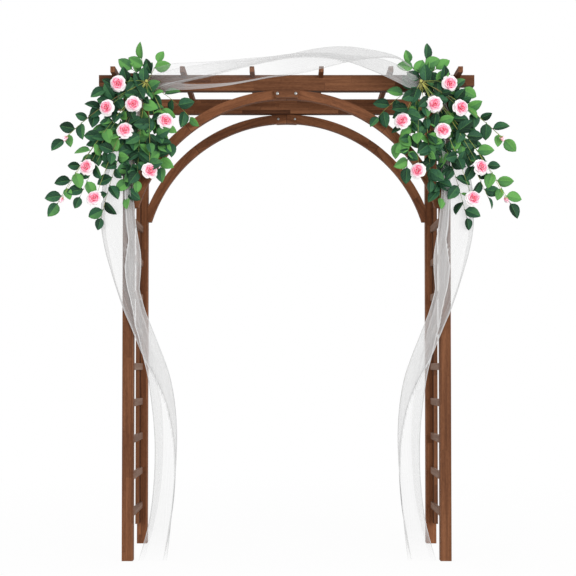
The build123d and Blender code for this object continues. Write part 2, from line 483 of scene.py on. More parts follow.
def new_material(name: str) -> tuple[bpy.types.Material, NodeTree, bpy.types.Node]:
    """Starts a material.

    Args:
        name: The material's name.

    Returns:
        The material, its tree, and its Principled BSDF.
    """
    material = bpy.data.materials.new(name)
    material.use_nodes = True
    tree = NodeTree(material.node_tree)
    return material, tree, material.node_tree.nodes["Principled BSDF"]


@dataclass(frozen=True)
class SoftwoodGrain:
    """Softwood under stain: fibres along X, growth rings, and finger-jointed blocks."""

    # Scale along and across the fibres, detail and roughness of three layers, and their shares
    streak: tuple[float, ...] = (2.4, 60.0, 4.0, 0.6)
    fibre: tuple[float, ...] = (9.0, 320.0, 5.0, 0.65)
    fleck: tuple[float, ...] = (60.0, 260.0, 3.0, 0.6)
    shares: Triple = (0.38, 0.26, 0.24)
    ring_scale: Triple = (1.1, 26.0, 26.0)
    ring_bands: float = 1.1
    ring_bend: float = 5.0
    ring_share: float = 0.1
    ring_relief: float = 0.4
    block_stagger: float = 0.618
    block_shift: float = 3.0
    joint_width: float = 0.0007
    bond_width: float = 0.0004

    def group(self) -> bpy.types.NodeTree:
        """Builds the grain.

        Returns:
            The group, with a tone from 0 to 1, a relief, and a mask of the glue lines.
        """
        number = "NodeSocketFloat"
        tree, given, sink = new_group(
            "softwood_grain",
            {"Vector": "NodeSocketVector"}
            | dict.fromkeys(("Block Length", "Lamella", "Variety"), number),
            dict.fromkeys(("Tone", "Relief", "Glue Line"), number),
        )
        place, length, lamella = given["Vector"], given["Block Length"], given["Lamella"]
        parts = tree.parts(place)
        layer_place = tree.math("DIVIDE", parts["Z"], lamella)
        layer = tree.math("FLOOR", layer_place)
        block_place = tree.plus(tree.math("DIVIDE", parts["X"], length), layer, self.block_stagger)
        block = tree.math("FLOOR", block_place)
        seed = tree.add("ShaderNodeCombineXYZ", {"X": block, "Y": layer}).outputs[0]
        chance = tree.add("ShaderNodeTexWhiteNoise", {"Vector": seed}, noise_dimensions="2D")
        shift = tree.vector("MULTIPLY", chance.outputs["Color"], (self.block_shift,) * 3)
        shifted = tree.vector("ADD", place, shift)
        rings = tree.add(
            "ShaderNodeTexWave",
            {
                "Vector": tree.vector("MULTIPLY", shifted, self.ring_scale),
                "Scale": self.ring_bands,
                "Distortion": self.ring_bend,
                "Detail": 2.0,
                "Detail Scale": 0.8,
            },
            bands_direction="Y",
        ).outputs["Fac"]
        layers = [
            tree.noise(tree.vector("MULTIPLY", shifted, (along, across, across)), 1.0, *look)
            for along, across, *look in (self.streak, self.fibre, self.fleck)
        ]
        tone = tree.math("MULTIPLY", rings, self.ring_share)
        for value, share in zip(layers, self.shares):
            tone = tree.plus(tone, value, share)
        odd = tree.math("SUBTRACT", chance.outputs["Value"], 0.5)
        lines = []
        for line_place, pitch, width in (
            (block_place, length, self.joint_width),
            (layer_place, lamella, self.bond_width),
        ):
            off = tree.math("MULTIPLY", tree.math("PINGPONG", line_place, 0.5), pitch)
            lines.append(tree.math("LESS_THAN", off, width))
        lift = tree.math("MULTIPLY", odd, given["Variety"])
        results = {
            "Tone": tree.math("ADD", tone, lift, clamp=True),
            "Relief": tree.plus(layers[1], rings, self.ring_relief),
            "Glue Line": tree.math("MAXIMUM", *lines),
        }
        tree.fill(sink, results)
        return tree.tree


@dataclass(frozen=True)
class WoodFinish:
    """Stained softwood, glued up from blocks."""

    name: str
    grain: Grain
    block_length: float
    lamella: float
    variety: float = 0.06
    stain: Stain = RED_BROWN
    # Share that the stain's colours are scaled by on this piece. This is painted light and shade
    # for the light that the piece gets: above 1 where it stands in shadow, below 1 where it catches
    # much light
    painted_light_share: float = 1.0
    roughness: float = 0.66
    # Painted light: the tone is raised towards the foot of a piece and fades out at the foot height
    foot_painted_light: float = 0.0
    foot_height: float = 0.5
    ramp_places: Triple = (0.27, 0.46, 0.66)
    glue_share: float = 0.5
    rough_share: float = 0.16
    rough_drop: float = 0.1
    specular: float = 0.14
    bump: tuple[float, float] = (0.25, 0.0006)

    def place(self, tree: NodeTree) -> Socket:
        """Coordinates whose X runs with the fibres."""
        inputs = {"Vector": tree.coords(), "Rotation": self.grain.value}
        return tree.add("ShaderNodeMapping", inputs).outputs[0]

    def seam(self, tree: NodeTree) -> Value:
        """Mask of the joints between the lengths that a piece is glued up from."""
        return 0.0

    def material(self, grain: bpy.types.NodeTree) -> bpy.types.Material:
        """Builds the finish.

        Args:
            grain: The shared grain group.

        Returns:
            The material.
        """
        material, tree, shader = new_material(self.name)
        inputs = {
            "Vector": self.place(tree),
            "Block Length": self.block_length,
            "Lamella": self.lamella,
            "Variety": self.variety,
        }
        wood = tree.add("ShaderNodeGroup", inputs, node_tree=grain)
        relief = wood.outputs["Relief"]
        # Painted light that fades upwards from the floor to the foot height
        height = tree.math("DIVIDE", tree.parts(tree.coords())["Z"], self.foot_height)
        low = tree.math("SUBTRACT", 1.0, height, clamp=True)
        tone = tree.plus(wood.outputs["Tone"], low, self.foot_painted_light)
        # The stain, made lighter or darker by the piece's painted light and shade
        stain = [scaled(colour, self.painted_light_share) for colour in self.stain]
        colour = tree.ramp(tone, list(zip(self.ramp_places, stain)))
        glue = tree.math("MULTIPLY", wood.outputs["Glue Line"], self.glue_share)
        lines = tree.math("MAXIMUM", glue, self.seam(tree))
        rough = tree.math("MULTIPLY", relief, self.rough_share)
        looks = {
            "Base Color": tree.mix(lines, colour, stain[0]),
            "Roughness": tree.math("ADD", rough, self.roughness - self.rough_drop),
            "Normal": tree.bump(relief, *self.bump),
            "Specular IOR Level": self.specular,
        }
        tree.fill(shader, looks)
        return material


@dataclass(frozen=True)
class ArchFinish(WoodFinish):
    """Stained softwood whose fibres run straight along each segment of an arch."""

    centre: float = 1.333
    radius: float = 0.7
    segment: float = math.radians(38)
    segment_shift: float = 7.31
    seam_width: float = 0.0022

    def polar(self, tree: NodeTree) -> tuple[Socket, Socket]:
        """Coordinates from the arch's centre, and the angle from its crown.

        Args:
            tree: The material's tree.

        Returns:
            The vector's and the angle's sockets.
        """
        local = tree.vector("SUBTRACT", tree.coords(), (0.0, 0.0, self.centre))
        parts = tree.parts(local)
        return local, tree.math("ARCTAN2", parts["X"], parts["Z"])

    def place(self, tree: NodeTree) -> Socket:
        """Coordinates turned with the segment that a point is in.

        Args:
            tree: The material's tree.

        Returns:
            The vector's socket.
        """
        local, lean = self.polar(tree)
        index = tree.math("FLOOR", tree.math("DIVIDE", lean, self.segment))
        turn = tree.math("MULTIPLY", tree.math("ADD", index, 0.5), self.segment)
        inputs = {"Vector": local, "Angle": tree.math("MULTIPLY", turn, -1.0)}
        laid = tree.add("ShaderNodeVectorRotate", inputs, rotation_type="Y_AXIS").outputs[0]
        shift = tree.math("MULTIPLY", index, self.segment_shift)
        step = tree.add("ShaderNodeCombineXYZ", {"X": shift}).outputs[0]
        return tree.vector("ADD", laid, step)

    def seam(self, tree: NodeTree) -> Value:
        """Mask of the joints between the arch's segments."""
        off = tree.math("PINGPONG", self.polar(tree)[1], self.segment / 2)
        return tree.math("LESS_THAN", off, self.seam_width / 2 / self.radius)


@dataclass(frozen=True)
class SteelFinish:
    """Zinc-plated steel of the bolts."""

    name: str = "zinc_plate"
    colour: Colour = (0.36, 0.36, 0.35, 1)
    cloud_shade: float = 0.8
    cloud_scale: float = 420.0
    ramp_places: tuple[float, float] = (0.3, 0.7)
    roughness: float = 0.22
    rough_share: float = 0.25

    def material(self) -> bpy.types.Material:
        """Builds the finish.

        Returns:
            The material.
        """
        material, tree, shader = new_material(self.name)
        cloud = tree.noise(tree.coords(), self.cloud_scale, 5.0)
        rough = tree.math("MULTIPLY", cloud, self.rough_share)
        colours = (scaled(self.colour, self.cloud_shade), self.colour)
        looks = {
            "Base Color": tree.ramp(cloud, list(zip(self.ramp_places, colours))),
            "Roughness": tree.math("ADD", rough, self.roughness),
            "Metallic": 1.0,
        }
        tree.fill(shader, looks)
        return material


@dataclass(frozen=True)
class LeafFinish:
    """Printed polyester leaf: the tone painted on each leaf goes from deep to fresh green."""

    name: str = "leaf_polyester"
    deep: Colour = (0.0035, 0.021, 0.010, 1)
    middle: Colour = (0.027, 0.100, 0.050, 1)
    fresh: Colour = (0.130, 0.360, 0.085, 1)
    middle_place: float = 0.45
    cloud_scale: float = 60.0
    cloud_step: float = 0.35
    tip_step: float = 0.22
    # Painted light and shade: one half of each leaf, beside the midrib, is lighter and the other
    # darker, as if the two halves were lit differently
    painted_light_half_step: float = 0.26
    rib_width: float = 0.022
    vein_count: float = 7.0
    vein_sweep: float = 4.0
    vein_width: float = 0.045
    vein_share: float = 0.45
    vein_light: float = 0.4
    roughness: float = 0.45
    rough_share: float = 0.2
    specular: float = 0.16
    bump: tuple[float, float] = (0.3, 0.0005)

    def material(self) -> bpy.types.Material:
        """Builds the finish.

        Returns:
            The material.
        """
        material, tree, shader = new_material(self.name)
        cloud = tree.noise(tree.coords(), self.cloud_scale)
        flat = tree.parts(tree.coords("UV"))
        tone = tree.sway(tree.painted("tone"), cloud, self.cloud_step)
        tone = tree.sway(tone, flat["X"], self.tip_step)
        # Painted light and shade on the two halves of the leaf
        tone = tree.sway(tone, tree.math("GREATER_THAN", flat["Y"], 0.5), self.painted_light_half_step)
        stops = [(0.0, self.deep), (self.middle_place, self.middle), (1.0, self.fresh)]
        across = tree.math("ABSOLUTE", tree.math("SUBTRACT", flat["Y"], 0.5))
        rib = tree.math("LESS_THAN", across, self.rib_width)
        along = tree.math("MULTIPLY", flat["X"], self.vein_count)
        swept = tree.math("SUBTRACT", along, tree.math("MULTIPLY", across, self.vein_sweep))
        vein = tree.math("MULTIPLY", tree.stripes(swept, self.vein_width), self.vein_share)
        veins = tree.math("MAXIMUM", rib, vein)
        light = tree.math("MULTIPLY", veins, self.vein_light)
        rough = tree.math("MULTIPLY", cloud, self.rough_share)
        looks = {
            "Base Color": tree.mix(light, tree.ramp(tone, stops), self.fresh),
            "Normal": tree.bump(veins, *self.bump),
            "Roughness": tree.math("ADD", rough, self.roughness),
            "Specular IOR Level": self.specular,
        }
        tree.fill(shader, looks)
        return material


@dataclass(frozen=True)
class PetalFinish:
    """Polyester petal: the blush painted on it goes from white to pale and on to deep pink, and a
    faint glow in its own colour is painted light.
    """

    name: str = "petal_polyester"
    white: Colour = (1.0, 0.96, 0.96, 1)
    pale: Colour = (1.0, 0.46, 0.62, 1)
    deep: Colour = (0.88, 0.035, 0.14, 1)
    ramp_places: Triple = (0.12, 0.45, 0.88)
    cloud_scale: float = 160.0
    cloud_step: float = 0.22
    roughness: float = 0.65
    sheen: float = 0.25
    # Painted light: a faint glow in the petal's own colour, which stands in for light passing
    # through the thin petals
    painted_glow: float = 0.05
    bump: tuple[float, float] = (0.15, 0.0004)

    def material(self) -> bpy.types.Material:
        """Builds the finish.

        Returns:
            The material.
        """
        material, tree, shader = new_material(self.name)
        cloud = tree.noise(tree.coords(), self.cloud_scale)
        stained = tree.sway(tree.painted("blush"), cloud, self.cloud_step)
        stops = list(zip(self.ramp_places, (self.white, self.pale, self.deep)))
        colour = tree.ramp(stained, stops)
        looks = {
            "Base Color": colour,
            "Normal": tree.bump(cloud, *self.bump),
            "Roughness": self.roughness,
            "Sheen Weight": self.sheen,
            # Painted light: the petal glows in its own colour
            "Emission Color": colour,
            "Emission Strength": self.painted_glow,
        }
        tree.fill(shader, looks)
        return material


@dataclass(frozen=True)
class StemFinish:
    """Moulded yellow-green stem, browner in patches."""

    name: str = "stem_moulded"
    brown: Colour = (0.20, 0.085, 0.045, 1)
    green: Colour = (0.15, 0.24, 0.045, 1)
    pale: Colour = (0.42, 0.40, 0.085, 1)
    ramp_places: Triple = (0.32, 0.45, 0.62)
    patch_scale: float = 14.0
    fine_scale: float = 500.0
    roughness: float = 0.5
    bump: tuple[float, float] = (0.2, 0.0003)

    def material(self) -> bpy.types.Material:
        """Builds the finish.

        Returns:
            The material.
        """
        material, tree, shader = new_material(self.name)
        patch = tree.noise(tree.coords(), self.patch_scale, 3.0)
        fine = tree.noise(tree.coords(), self.fine_scale, 2.0)
        stops = list(zip(self.ramp_places, (self.brown, self.green, self.pale)))
        looks = {
            "Base Color": tree.ramp(patch, stops),
            "Normal": tree.bump(fine, *self.bump),
            "Roughness": self.roughness,
        }
        tree.fill(shader, looks)
        return material


@dataclass(frozen=True)
class TulleFinish:
    """Sheer net: threads in two directions, open between them, denser in streaks and on hems."""

    name: str = "tulle_net"
    # The net is white. Both colours are greyed: painted shade that stands in for the shading within
    # its layers and folds
    grey: Colour = (0.57, 0.57, 0.57, 1)
    white: Colour = (0.71, 0.71, 0.71, 1)
    cover: float = 0.35
    hem_cover: float = 1.0
    streak_scale: Triple = (75.0, 2.0, 1.0)
    ramp_places: tuple[float, float] = (0.3, 0.7)
    thread_pitch: float = 0.0016
    thread_share: float = 0.09
    thread_cover: float = 0.25
    open_cover: float = 0.92
    roughness: float = 0.8
    specular: float = 0.1

    def material(self) -> bpy.types.Material:
        """Builds the finish.

        Returns:
            The material.
        """
        material, tree, shader = new_material(self.name)
        flat = tree.coords("UV")
        parts = tree.parts(flat)
        streak = tree.noise(tree.vector("MULTIPLY", flat, self.streak_scale), 1.0, 3.0)
        threads = []
        for sign in (1.0, -1.0):
            slanted = tree.plus(parts["X"], parts["Y"], sign)
            step = tree.math("DIVIDE", slanted, self.thread_pitch)
            threads.append(tree.stripes(step, self.thread_share))
        thread = tree.math("MULTIPLY", tree.math("MAXIMUM", *threads), self.thread_cover)
        net = tree.math("ADD", thread, self.open_cover)
        dense = tree.math("MULTIPLY", tree.math("ADD", streak, 0.5), self.cover)
        dense = tree.math("MULTIPLY", dense, tree.painted("dense"))
        hem = tree.math("MULTIPLY", tree.painted("hem"), self.hem_cover)
        cover = tree.math("MAXIMUM", tree.math("MULTIPLY", dense, net), hem)
        looks = {
            "Base Color": tree.ramp(streak, list(zip(self.ramp_places, (self.grey, self.white)))),
            "Alpha": tree.math("MULTIPLY", cover, tree.painted("fade"), clamp=True),
            "Roughness": self.roughness,
            "Specular IOR Level": self.specular,
        }
        tree.fill(shader, looks)
        return material


# One stain in lit and shaded copies. Painted light goes on the rear posts, the rear beam and the
# arch halves, which stand in shadow. Painted shade goes on the front posts and their side boards,
# the rear side boards, the front beam and the plates, which catch more light. The front posts are
# also painted lighter towards their feet
POST = WoodFinish("stained_upright_painted_light", Grain.UPRIGHT, 0.52, 0.024, painted_light_share=0.92, foot_painted_light=0.09)
REAR_POST = WoodFinish("rear_upright_painted_light", Grain.UPRIGHT, 0.52, 0.024, painted_light_share=1.32)
REAR_BOARD = WoodFinish("rear_board_painted_shade", Grain.UPRIGHT, 0.52, 0.024, painted_light_share=0.84)
# By the words that the nodes' names end with
TIMBER: dict[str, WoodFinish] = {
    "leg": POST,
    "side_board": POST,
    "rear_left_leg": REAR_POST,
    "rear_right_leg": REAR_POST,
    "rear_left_side_board": REAR_BOARD,
    "rear_right_side_board": REAR_BOARD,
    "beam": WoodFinish("stained_beam_painted_shade", Grain.ACROSS, 0.31, 0.0348, 0.16, painted_light_share=0.86),
    "rear_beam": WoodFinish("stained_rear_beam_painted_light", Grain.ACROSS, 0.23, 0.0174, 0.18, painted_light_share=1.08),
    "rafter": WoodFinish("stained_rafter", Grain.THROUGH, 0.4, 0.03),
    "rung": WoodFinish(
        "weathered_rung", Grain.THROUGH, 0.6, 0.05, 0.1, stain=WEATHERED, roughness=0.75
    ),
    "arch_half": ArchFinish("stained_arch_painted_light", Grain.ACROSS, 0.9, 0.06, painted_light_share=1.2),
    "arch_plate": WoodFinish("stained_plate_painted_shade", Grain.ACROSS, 0.7, 0.09, painted_light_share=0.86),
}


@dataclass
class TimberFrame:
    """The carried-over timber nodes."""

    finishes: dict[str, WoodFinish]

    def dress(self) -> None:
        """Gives every timber node its finish."""
        grain = SoftwoodGrain().group()
        kept = dict.fromkeys(self.finishes.values())
        materials = {finish: finish.material(grain) for finish in kept}
        for node, obj in sorted(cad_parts.items()):
            words = "_" + node.rstrip("_0123456789")
            kinds = [kind for kind in self.finishes if words.endswith(f"_{kind}")]
            if kinds:
                obj.data.materials.clear()
                obj.data.materials.append(materials[self.finishes[max(kinds, key=len)]])
                log_piece(obj)


@dataclass
class CoachBolts:
    """Domed bolt heads and cap nuts in place of the plain ones."""

    node: str
    material: bpy.types.Material
    head_radius: float = 0.007
    head_height: float = 0.004
    sides: int = 20
    rim: float = 0.35
    # Rise and shrink of each step of the dome
    dome: tuple[tuple[float, float], ...] = ((0.3, 0.86), (0.22, 0.74), (0.13, 0.5))
    upward: float = 0.9

    def head(self) -> bpy.types.Object:
        """Models one domed head on the Z axis with its seat at the origin.

        Returns:
            The pattern.
        """
        height = self.head_height
        rim = height * self.rim
        deselect_all()
        bpy.ops.mesh.primitive_cylinder_add(
            vertices=self.sides, radius=self.head_radius, depth=rim, location=(0, 0, rim / 2)
        )
        dome = bpy.context.object
        bpy.ops.object.transform_apply(location=True)
        edit(dome)
        bpy.ops.mesh.select_mode(type="FACE")
        mesh = bmesh.from_edit_mesh(dome.data)
        for face in mesh.faces:
            face.select = face.normal.z > self.upward
        bmesh.update_edit_mesh(dome.data)
        for rise, shrink in self.dome:
            step = {"value": (0, 0, height * rise)}
            bpy.ops.mesh.extrude_region_move(TRANSFORM_OT_translate=step)
            bpy.ops.transform.resize(value=(shrink, shrink, 1))
        bpy.ops.object.mode_set(mode="OBJECT")
        return dome

    def build(self) -> None:
        """Puts a head or a nut where each solid of the node has one."""
        pattern = self.head()
        parts = []
        for corners in islands(self.node):
            low = Vector(map(min, zip(*corners)))
            high = Vector(map(max, zip(*corners)))
            centre = (low + high) / 2
            radius = max(high.x - low.x, high.z - low.z) / 2
            outer = max((place.y for place in corners), key=abs)
            outward = math.copysign(1, centre.y)
            nut = high.y - low.y < self.head_height
            seat = outer if nut else outward * (abs(outer) - self.head_height)
            way = Vector((0, -outward if nut else outward, 0))
            size = Matrix.Diagonal((radius / self.head_radius,) * 2 + (1.0, 1.0))
            place = look_frame(Vector((centre.x, seat, centre.z)), RIGHT, way)
            parts.append(copy_of(pattern, place @ size))
        discard(pattern)
        piece = join(parts, f"{self.node}_domed")
        finish_piece(piece, self.node, self.material)


@dataclass
class RoseLeaf:
    """Pattern of one leaf: X from its stalk to its tip, Z up from its face."""

    length: float = 0.070
    width: float = 0.050
    thickness: float = 0.0006
    lanes: int = 4
    fold: float = 0.0085
    droop: float = 0.010
    # Shares of the length and of the width
    outline: tuple[tuple[float, float], ...] = (
        (-0.10, 0.04),
        (0.00, 0.10),
        (0.12, 0.66),
        (0.29, 0.96),
        (0.48, 1.00),
        (0.68, 0.83),
        (0.86, 0.48),
        (1.00, 0.02),
    )

    def build(self) -> bpy.types.Object:
        """Models the leaf from a grid: its fold lane by lane, its outline row by row.

        Returns:
            The pattern.
        """
        rows = len(self.outline) - 1
        leaf = new_grid(rows, self.lanes, 2.0, "rose_leaf")
        edit(leaf)
        for lane in range(self.lanes + 1):
            side = 2 * lane / self.lanes - 1
            pick(leaf, near(side, 1))
            bpy.ops.transform.translate(value=(0, 0, self.fold * abs(side)))
        bpy.ops.mesh.select_all(action="SELECT")
        bpy.ops.transform.resize(value=(1, self.width / 2, 1), center_override=ORIGIN)
        for row, (along, share) in enumerate(self.outline):
            x = 2 * row / rows - 1
            pick(leaf, near(x, 0))
            bpy.ops.transform.resize(value=(1, share, share), center_override=ORIGIN)
            sag = self.droop * max(0.0, along) ** 2
            bpy.ops.transform.translate(value=(self.length * along - x, 0, -sag))
        bpy.ops.object.mode_set(mode="OBJECT")
        apply_modifier(leaf, "SOLIDIFY", thickness=self.thickness, offset=0.0)
        return leaf


@dataclass(frozen=True)
class PetalRing:
    """One whorl of petals of a rose, with its angles in degrees."""

    count: int
    length: float
    width: float
    lean: float
    lift: float
    cup: float
    curl: float
    blush: float
    depth: float
    turn: float


@dataclass
class RosePattern:
    """Pattern of an open rose on the Z axis, and of a bud."""

    rings: tuple[PetalRing, ...] = (
        PetalRing(5, 0.0335, 0.043, 80, 0.003, 0.004, 0.0080, 0.00, 0.40, 0),
        PetalRing(5, 0.0300, 0.040, 66, 0.005, 0.006, 0.0075, 0.04, 1.25, 36),
        PetalRing(5, 0.0265, 0.034, 51, 0.006, 0.008, 0.0065, 0.18, 2.00, 12),
        PetalRing(5, 0.0235, 0.028, 37, 0.007, 0.008, 0.0050, 0.26, 2.25, 50),
        PetalRing(4, 0.0215, 0.022, 24, 0.008, 0.007, 0.0035, 0.30, 2.30, 20),
        PetalRing(3, 0.0200, 0.015, 12, 0.008, 0.006, 0.0015, 0.26, 2.10, 70),
    )
    bud_rings: tuple[PetalRing, ...] = (
        PetalRing(3, 0.0240, 0.020, 9, 0.003, 0.008, 0.0020, 0.10, 0.30, 0),
        PetalRing(3, 0.0250, 0.013, 4, 0.004, 0.006, 0.0005, 0.45, 0.30, 60),
    )
    thickness: float = 0.0005
    foot: float = 0.0015
    lanes: int = 4
    # Shares of the width and of the curl, from the foot to the rim
    outline: tuple[float, ...] = (0.26, 0.70, 0.95, 1.00, 0.93, 0.66)
    rise: tuple[float, ...] = (0.0, 0.35, 0.45, 0.20, -0.35, -1.0)
    # How the petals of one whorl differ: degrees of lean and turn, each with the step of its wave
    # from petal to petal, and a share of the lift
    odd_lean: float = 5
    lean_step: float = 2.7
    odd_turn: float = 4
    turn_step: float = 4.1
    odd_lift: float = 0.12

    def petal(self, ring: PetalRing) -> bpy.types.Object:
        """Models one petal: X from its foot to its rim, Z on its hollow side.

        Args:
            ring: The petal's sizes.

        Returns:
            The pattern.
        """
        rows = len(self.outline) - 1
        petal = new_grid(rows, self.lanes, 1.0, "petal")
        edit(petal)
        bpy.ops.mesh.select_all(action="SELECT")
        bpy.ops.transform.translate(value=(0.5, 0, 0))
        bpy.ops.transform.resize(value=(ring.length, ring.width, 1), center_override=ORIGIN)
        for lane in range(self.lanes + 1):
            y = ring.width * (lane / self.lanes - 0.5)
            pick(petal, near(y, 1))
            bpy.ops.transform.translate(value=(0, 0, ring.cup * (2 * y / ring.width) ** 2))
        for row, (share, rise) in enumerate(zip(self.outline, self.rise)):
            pick(petal, near(ring.length * row / rows, 0))
            bpy.ops.transform.resize(value=(1, share, 1), center_override=ORIGIN)
            bpy.ops.transform.translate(value=(0, 0, ring.curl * rise))
        bpy.ops.object.mode_set(mode="OBJECT")
        apply_modifier(petal, "SUBSURF", levels=1, render_levels=1)
        apply_modifier(petal, "SOLIDIFY", thickness=self.thickness, offset=0.0)
        return petal

    def bloom(self, rings: Sequence[PetalRing], name: str) -> bpy.types.Object:
        """Sets the petals of several whorls round the axis.

        Args:
            rings: The whorls, from the outer to the inner one.
            name: The pattern's name.

        Returns:
            The pattern.
        """
        parts = []
        for ring in rings:
            petal = self.petal(ring)
            along = np.array([vert.co.x for vert in petal.data.vertices]) / ring.length
            paint_points(petal, "blush", ring.blush + ring.depth * (1 - along))
            for i in range(ring.count):
                lean = ring.lean - 90 + self.odd_lean * math.sin(self.lean_step * i + ring.turn)
                odd_turn = self.odd_turn * math.sin(self.turn_step * i)
                turn = ring.turn + 360 * i / ring.count + odd_turn
                lift = ring.lift * (1 - self.odd_lift * (i % 2))
                seat = Matrix.Translation((self.foot, 0, lift))
                parts.append(copy_of(petal, turned(turn, "Z") @ seat @ turned(lean, "Y")))
            discard(petal)
        return join(parts, name)


@dataclass(frozen=True)
class LeafCluster:
    """Further leaves about a place that is given from the hub of the left bush."""

    dx: float
    dz: float
    reach_x: float
    reach_z: float
    count: int


@dataclass
class RoseBush:
    """Stems, leaves and roses of one bush, set where the CAD solids are."""

    side: Side
    seed: int
    leaf_finish: bpy.types.Material
    petal_finish: bpy.types.Material
    stem_finish: bpy.types.Material
    leaf: RoseLeaf = field(default_factory=RoseLeaf)
    rose: RosePattern = field(default_factory=RosePattern)
    stem_radius: float = 0.0014
    stem_taper: float = 0.6
    stem_corners: int = 4
    hub_radius: float = 0.009
    hub_taper: float = 0.75
    open_reach: float = 0.035
    foot_reach: float = 0.0075
    calyx_radius: float = 0.0055
    calyx_depth: float = 0.009
    sepals: int = 5
    sepal_spread: float = 2.1
    sepal_rise: float = 0.25
    clusters: tuple[LeafCluster, ...] = (
        LeafCluster(-0.055, -0.215, 0.130, 0.240, 54),
        LeafCluster(0.0, -0.012, 0.05, 0.04, 7),
    )
    rose_room: float = 0.040
    leaf_room: float = 0.028
    tries: int = 60
    # Where a further leaf sits on its stem, how far it turns from it, and its share of the length
    leaf_places: tuple[float, float] = (0.02, 0.95)
    leaf_turns: tuple[float, float] = (-100, 100)
    leaf_sizes: tuple[float, float] = (0.6, 1.05)
    # Degrees that a leaf rolls and lifts: those of the solids, and the further ones
    leaf_roll: float = 24
    solid_lifts: tuple[float, float] = (-26, 8)
    thick_lifts: tuple[float, float] = (-46, 6)
    clear_lift: float = 0.5
    # Greens, and how often each one comes: in the solids' leaves, the further ones and the top
    greens: Triple = (0.22, 0.46, 0.88)
    green_spread: tuple[float, float] = (-0.17, 0.14)
    solid_greens: tuple[int, int, int] = (10, 4, 5)
    thick_greens: tuple[int, int, int] = (12, 4, 3)
    fresh_greens: tuple[int, int, int] = (1, 2, 9)
    fresh_above: float = 0.045

    def node(self, kind: str) -> str:
        """Name of one of the bush's CAD nodes."""
        return f"{self.side.value}_garland_{kind}"

    def build(self) -> None:
        """Builds and dresses the bush."""
        self.chance = random.Random(self.seed)
        solids = islands(self.node("stems"))
        self.hub_solid = max(solids, key=self.girth)
        self.hub = middle(self.hub_solid)
        solids.remove(self.hub_solid)
        self.lines = [self.stem_line(corners) for corners in solids]
        self.stem_tree = KDTree(sum(map(len, solids)))
        for i, place in enumerate(place for corners in solids for place in corners):
            self.stem_tree.insert(place, i)
        self.stem_tree.balance()
        blooms = [self.bloom_frame(corners) for corners in islands(self.node("roses"))]
        self.roses = [place.translation for place, is_open in blooms if is_open]
        for piece, kind, slot, finish in (
            (self.build_stems(blooms), "stems", "stem_green", self.stem_finish),
            (self.build_leaves(), "leaves", "leaf_silk", self.leaf_finish),
            (self.build_roses(blooms), "roses", "petal_silk", self.petal_finish),
        ):
            finish_piece(piece, self.node(kind), finish)

    def girth(self, corners: Sequence[Vector]) -> float:
        """Reach of a solid in Y, which is largest for the hub."""
        return max(place.y for place in corners) - min(place.y for place in corners)

    def off_stem(self, place: Vector) -> float:
        """Distance from a place to the nearest corner of a stem."""
        return self.stem_tree.find(place)[2]

    def stem_line(self, corners: Sequence[Vector]) -> list[Vector]:
        """Middle line of a stem's solid, from the hub outwards.

        Args:
            corners: The solid's corners, four at each station.

        Returns:
            The line's places.
        """
        start = min(corners, key=lambda place: (place - self.hub).length)
        far = max(corners, key=lambda place: (place - start).length)
        chord = (far - start).normalized()
        ordered = sorted(corners, key=lambda place: (place - start).dot(chord))
        step = self.stem_corners
        return [middle(ordered[i : i + step]) for i in range(0, len(ordered) - step + 1, step)]

    def tube(self, line: Sequence[Vector], radius: float, taper: float) -> bpy.types.Object:
        """Models a round stem along a line.

        Args:
            line: The places that it passes.
            radius: Its radius at the first place.
            taper: Share of the radius at the last place.

        Returns:
            The stem as a mesh.
        """
        curve = bpy.data.curves.new("stem", "CURVE")
        curve.dimensions = "3D"
        curve.bevel_depth = radius
        curve.bevel_resolution = 1
        curve.resolution_u = 3
        curve.use_fill_caps = True
        spline = curve.splines.new("NURBS")
        spline.points.add(len(line) - 1)
        for i, (point, place) in enumerate(zip(spline.points, line)):
            point.co = (*place, 1)
            point.radius = 1 - (1 - taper) * i / (len(line) - 1)
        spline.order_u = 3
        spline.use_endpoint_u = True
        activate(put_in_scene("stem", curve))
        bpy.ops.object.convert(target="MESH")
        return bpy.context.object

    def calyx(self) -> bpy.types.Object:
        """Models the green cup under a bloom, with five sepals on its rim, on the Z axis.

        Returns:
            The pattern.
        """
        depth = self.calyx_depth
        step = 180 / self.sepals
        deselect_all()
        bpy.ops.mesh.primitive_cone_add(
            vertices=2 * self.sepals,
            radius1=self.stem_radius,
            radius2=self.calyx_radius,
            depth=depth,
            location=(0, 0, depth / 2),
        )
        cup = bpy.context.object
        bpy.ops.object.transform_apply(location=True)

        def is_sepal(place: Vector) -> bool:
            """Whether a place is every other corner of the rim."""
            angle = math.degrees(math.atan2(place.y, place.x))
            return place.z > depth / 2 and round(angle / step) % 2 == 1

        edit(cup)
        pick(cup, is_sepal)
        spread = (self.sepal_spread, self.sepal_spread, 1)
        bpy.ops.transform.resize(value=spread, center_override=ORIGIN)
        bpy.ops.transform.translate(value=(0, 0, depth * self.sepal_rise))
        bpy.ops.object.mode_set(mode="OBJECT")
        return cup

    def bloom_frame(self, corners: Sequence[Vector]) -> tuple[Matrix, bool]:
        """Frame of a rose or bud.

        Args:
            corners: The corners of its solid.

        Returns:
            The frame, with Z along the bloom's axis, and whether it is an open rose.
        """
        foot = min(corners, key=self.off_stem)
        foot = middle([place for place in corners if (place - foot).length < self.foot_reach])
        axis = (middle(corners) - foot).normalized()
        reach = max((place - foot).length for place in corners)
        spin = Matrix.Rotation(self.chance.uniform(0, math.tau), 4, "Z")
        return look_frame(foot, UP - axis * UP.dot(axis), axis) @ spin, reach > self.open_reach

